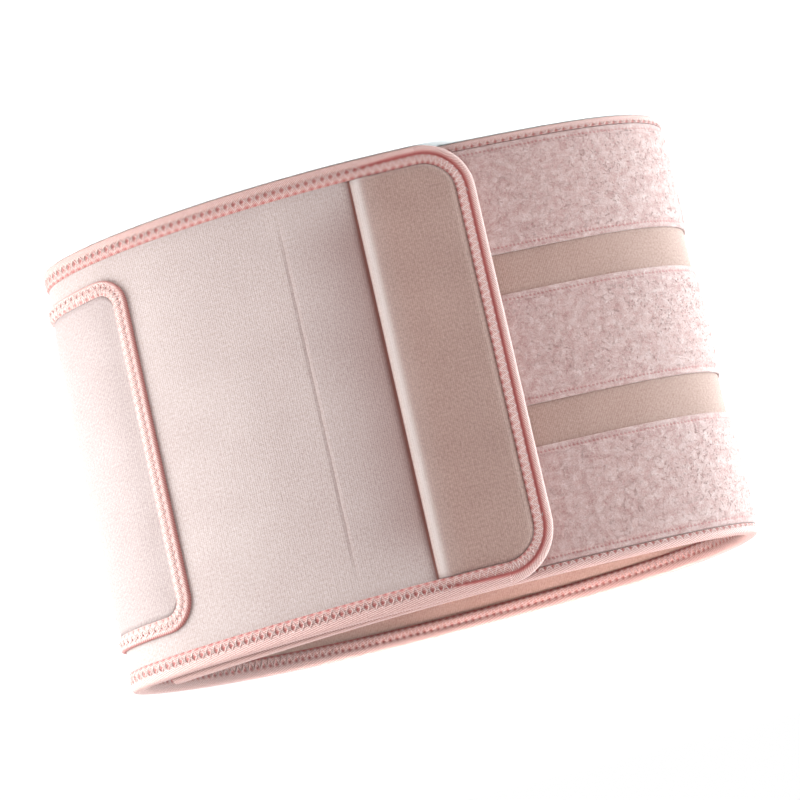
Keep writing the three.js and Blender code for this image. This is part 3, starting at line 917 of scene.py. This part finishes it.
def make_hook_patch():
    radius = CORNER_RADIUS - HOOK_MARGIN
    along = stations(HOOK_TO - HOOK_WIDTH, HOOK_TO, 2.0, corners=(0.0, radius))
    cut = corner_cut(HOOK_TO - along, radius)
    low = (HOOK_MARGIN + cut)[:, None]
    high = (BELT_HEIGHT - HOOK_MARGIN - cut)[:, None]
    share = np.linspace(0, 1, 40)[None, :]
    up = low + (high - low) * share
    run = np.broadcast_to(along[:, None], up.shape)
    seat = np.full(up.shape, BODY_INNER + SEAT_GAP)
    front = np.stack((run, up, seat), axis=2)
    back = np.stack((run, up, seat + HOOK_THICKNESS), axis=2)[:, ::-1]
    return make_cloth("hook_tape_patch", np.concatenate((front, back, front[:, :1]), axis=1))


def hook_material():
    """Moulded hook tape: rows of tiny glossy hooks."""
    material, tree, shader = make_tree("hook_tape")
    cloth = cloth_uv(tree)
    cells = put(tree, "TexVoronoi", {"Vector": cloth, "Scale": 900.0, "Randomness": 0.25})
    height = sum_of(tree, "SUBTRACT", 1.0, cells.outputs["Distance"])
    colour = mix_of(tree, cells.outputs["Distance"], HOOK_LIGHT, HOOK_DARK)
    finish_cloth(tree, shader, colour, height, 0.0004, roughness=0.45, sheen=0.0)
    return material


hook_patch = make_hook_patch()
hook_patch.data.materials.append(hook_material())
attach(hook_patch, "root")
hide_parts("hook_patch")

# The back panel is a padded panel of smooth knit sewn on the outside of the belt's back, with its own
# bound edge: the same soft tape, sewn down with two needle rows.
BACK_LENGTH = 434.0
BACK_FROM = LOOP_SIDE_END
BACK_TO = LOOP_SIDE_END + BACK_LENGTH
BACK_LOW = 18.0
BACK_HIGH = BELT_HEIGHT - 18.5
BACK_THICKNESS = 1.6
BACK_CORNER = 14.0
BACK_ROWS = 56
PAD_EDGE = 0.75
PAD_SWELL_REACH = 7.0
PAD_WAVE = 0.12
RIM_WIDTH = 7.0
RIM_THICKNESS = 2.2
RIM_HOLES = (2.9, 6.2)
RIM_SECTION = np.array([
    (0.0, 2.05), (0.05, 1.3), (0.35, 0.65), (0.9, 0.22), (1.5, 0.08), (2.1, 0.18), (2.6, 0.4), (2.9, 0.5),
    (3.2, 0.4), (3.8, 0.16), (4.5, 0.08), (5.2, 0.14), (5.8, 0.34), (6.2, 0.52), (6.6, 0.8), (7.0, 1.25),
])
BACK_DARK = (0.248, 0.164, 0.153, 1.0)
BACK_LIGHT = (0.37, 0.27, 0.257, 1.0)


def make_back_panel():
    inset = RIM_WIDTH + 0.02
    start, end = BACK_FROM + inset, BACK_TO - inset
    radius = BACK_CORNER - inset
    along = stations(start, end, 3.5, corners=(radius, radius))
    share = np.linspace(0, 1, BACK_ROWS)[None, :]
    cut = np.maximum(corner_cut(along - start, radius), corner_cut(end - along, radius))
    low = (BACK_LOW + inset + cut)[:, None]
    high = (BACK_HIGH - inset - cut)[:, None]
    up = low + (high - low) * share
    run = np.broadcast_to(along[:, None], up.shape)
    to_rim = np.minimum(np.minimum(up - low, high - up), np.minimum(run - start, end - run))
    seat = BODY_OUTER - SEAT_GAP
    swell = 1 - np.exp(-(to_rim / PAD_SWELL_REACH) ** 2)
    wave = PAD_WAVE * np.sin(run / 19.0) * np.sin(up / 27.0) * swell
    outer = seat - PAD_EDGE - (BACK_THICKNESS - PAD_EDGE) * swell - wave
    inner = np.full(up.shape, BODY_OUTER - 0.05)
    front = np.stack((run, up, outer), axis=2)
    back = np.stack((run, up, inner), axis=2)[:, ::-1]
    return make_cloth("back_panel_pad", np.concatenate((front, back, front[:, :1]), axis=1))


back_panel = make_back_panel()
back_panel.data.materials.append(
    knit_material("back_panel_knit", BACK_DARK, BACK_LIGHT, relief=0.00008, sheen=0.12))
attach(back_panel, "root")
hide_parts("back_panel")


def make_rim():
    """The back panel's bound edge, from the middle of its lower side all the way round."""
    radius = BACK_CORNER
    middle = (BACK_FROM + BACK_TO) / 2
    edge, travelled = join_runs(
        straight_run(middle, BACK_TO - radius, BACK_LOW, 1.0),
        corner_run(BACK_TO - radius, BACK_LOW + radius, radius, -pi / 2),
        upright_run(BACK_TO, BACK_LOW + radius, BACK_HIGH - radius, -1.0),
        corner_run(BACK_TO - radius, BACK_HIGH - radius, radius, 0.0),
        straight_run(BACK_TO - radius, BACK_FROM + radius, BACK_HIGH, -1.0),
        corner_run(BACK_FROM + radius, BACK_HIGH - radius, radius, pi / 2),
        upright_run(BACK_FROM, BACK_HIGH - radius, BACK_LOW + radius, 1.0),
        corner_run(BACK_FROM + radius, BACK_LOW + radius, radius, pi),
        straight_run(BACK_FROM + radius, middle, BACK_LOW, 1.0),
    )
    # A whole number of stitches goes round
    travelled = travelled * round(travelled[-1] / STITCH_PITCH) * STITCH_PITCH / travelled[-1]
    distance = np.broadcast_to(RIM_SECTION[None, :, 0], (len(edge), len(RIM_SECTION)))
    lay = BODY_OUTER - SEAT_GAP - RIM_THICKNESS
    passed = travelled[:, None]
    hole = np.zeros(distance.shape)
    for number, row in enumerate(RIM_HOLES):
        spread = np.exp(-((distance - row) / 0.6) ** 2 - (near_stitch(passed, 0.5 * number) / 0.8) ** 2)
        hole = np.maximum(hole, spread)
    depth = lay + RIM_SECTION[None, :, 1] + 0.65 * hole
    under = BODY_OUTER - 0.05
    base = np.broadcast_to(np.array([[RIM_WIDTH, 0.0]]), (len(edge), 2))
    distance = np.concatenate((distance, base, distance[:, :1]), axis=1)
    flat_under = np.full((len(edge), 2), under)
    depth = np.concatenate((np.minimum(depth, under - 0.1), flat_under, depth[:, :1]), axis=1)
    # Painted shade in the needle holes, and a painted shadow along the rim's outer foot
    shade = np.clip(hole + 0.7 * np.exp(-(RIM_SECTION[None, :, 0] / 0.7) ** 2), 0, 1)
    painted_shade = np.concatenate((shade, np.zeros((len(edge), 2)), shade[:, :1]), axis=1)
    rings = np.stack((
        edge[:, :1] + edge[:, 2:3] * distance, edge[:, 1:2] + edge[:, 3:4] * distance, depth), axis=2)
    pattern = np.stack((np.broadcast_to(passed, distance.shape), distance), axis=2)
    rim = make_cloth("back_panel_rim", rings, pattern=pattern, painted_shade=painted_shade, closed=True)
    rim.data.materials.append(soft_tape)
    threads = make_thread_piece("back_panel_rim_threads", [
        zigzag(edge, travelled, 6.0, 3.0, lay + 0.45, lay - 0.12),
        zigzag(edge, travelled, 3.2, 1.0, lay + 0.40, lay - 0.05, offset=0.5),
    ], THREAD_RADIUS)
    threads.data.materials.append(sewing_thread)
    for piece in (rim, threads):
        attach(piece, "root")
    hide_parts("back_panel_binding_start", "back_panel_binding_end")


make_rim()

# The room: a pale floor, soft light from both sides, and the camera at the photograph's angle.
FLOOR_DARK = (0.93, 0.92, 0.92, 1.0)
FLOOR_LIGHT = (0.95, 0.94, 0.94, 1.0)
FLOOR_SIZE = 24.0
FLOOR_DROP = 0.0001
EYE = Vector((1.72, -918.4, 301.3)) * MILLIMETRE
CAMERA_PITCH = radians(12.72)
CAMERA_ROLL = radians(180.0 - 14.66)
CAMERA_LENS = 90.0
WORLD_LIGHT = 0.08


def make_floor():
    net = bmesh.new()
    bmesh.ops.create_grid(net, x_segments=8, y_segments=8, size=FLOOR_SIZE / 2)
    bmesh.ops.translate(net, verts=net.verts[:], vec=(0.0, 0.0, -FLOOR_DROP))
    mesh = bpy.data.meshes.new("floor")
    net.to_mesh(mesh)
    net.free()
    floor = bpy.data.objects.new("floor", mesh)
    bpy.context.collection.objects.link(floor)
    material, tree, shader = make_tree("floor_paper")
    spot = put(tree, "TexCoord").outputs["Object"]
    grain = put(tree, "TexNoise", {"Vector": spot, "Scale": 3.0})
    paper = mix_of(tree, grain.outputs["Fac"], FLOOR_DARK, FLOOR_LIGHT)
    tree.links.new(paper, shader.inputs["Base Color"])
    shader.inputs["Roughness"].default_value = 0.9
    floor.data.materials.append(material)


def make_light(name, spot, aim, size, power, colour, spread=180.0):
    """A soft box light at a spot, turned towards its aim."""
    lamp = bpy.data.lights.new(name, "AREA")
    lamp.shape = "RECTANGLE"
    lamp.size, lamp.size_y = size
    lamp.energy = power
    lamp.color = colour
    lamp.spread = radians(spread)
    light = bpy.data.objects.new(name, lamp)
    light.location = spot
    light.rotation_euler = (Vector(aim) - Vector(spot)).to_track_quat("-Z", "Y").to_euler()
    bpy.context.collection.objects.link(light)


make_floor()
make_light("left_softbox", (0.42, -0.18, 0.09), (0.0, 0.0, 0.08), (0.25, 0.4), 5.0, (0.78, 0.98, 1.0))
make_light("right_softbox", (-1.15, -0.03, 0.20), (0.0, 0.0, 0.1), (0.4, 0.5), 43.0, (0.66, 0.95, 1.0))
make_light("back_softbox", (0.4, 1.2, 0.6), (0.0, 0.0, 0.1), (0.8, 0.8), 14.0, (1.0, 0.98, 0.97))
make_light(
    "inner_softbox", (0.12, -0.06, 0.55), (-0.03, 0.1, 0.19),
    (0.2, 0.06), 0.42, (1.0, 0.96, 0.94), spread=40.0,
)

sun = bpy.data.lights.new("overhead", "SUN")
sun.energy = 3.6
sun.angle = radians(60)
overhead = bpy.data.objects.new("overhead", sun)
overhead.rotation_euler = (radians(7), 0.0, 0.0)
bpy.context.collection.objects.link(overhead)


def make_world():
    """An even pale surrounding, seen by the camera as brightly as the floor."""
    world = bpy.data.worlds.new("studio")
    world.use_nodes = True
    tree = world.node_tree
    tree.nodes.clear()
    output = tree.nodes.new("ShaderNodeOutputWorld")
    seen = put(tree, "LightPath").outputs["Is Camera Ray"]
    strength = sum_of(tree, "MULTIPLY_ADD", seen, 1.0 - WORLD_LIGHT, WORLD_LIGHT)
    glow = put(tree, "Background", {"Color": (1.0, 1.0, 1.0, 1.0), "Strength": strength})
    tree.links.new(glow.outputs[0], output.inputs["Surface"])
    bpy.context.scene.world = world


make_world()

lens = bpy.data.cameras.new("camera")
lens.lens = CAMERA_LENS
lens.sensor_width = 36.0
lens.clip_end = 60.0
camera = bpy.data.objects.new("camera", lens)
camera.matrix_world = (
    Matrix.Translation(EYE)
    @ Matrix.Rotation(pi / 2 - CAMERA_PITCH, 4, "X")
    @ Matrix.Rotation(CAMERA_ROLL, 4, "Z")
)
bpy.context.collection.objects.link(camera)
bpy.context.scene.camera = camera
bpy.context.scene.view_settings.view_transform = "Standard"
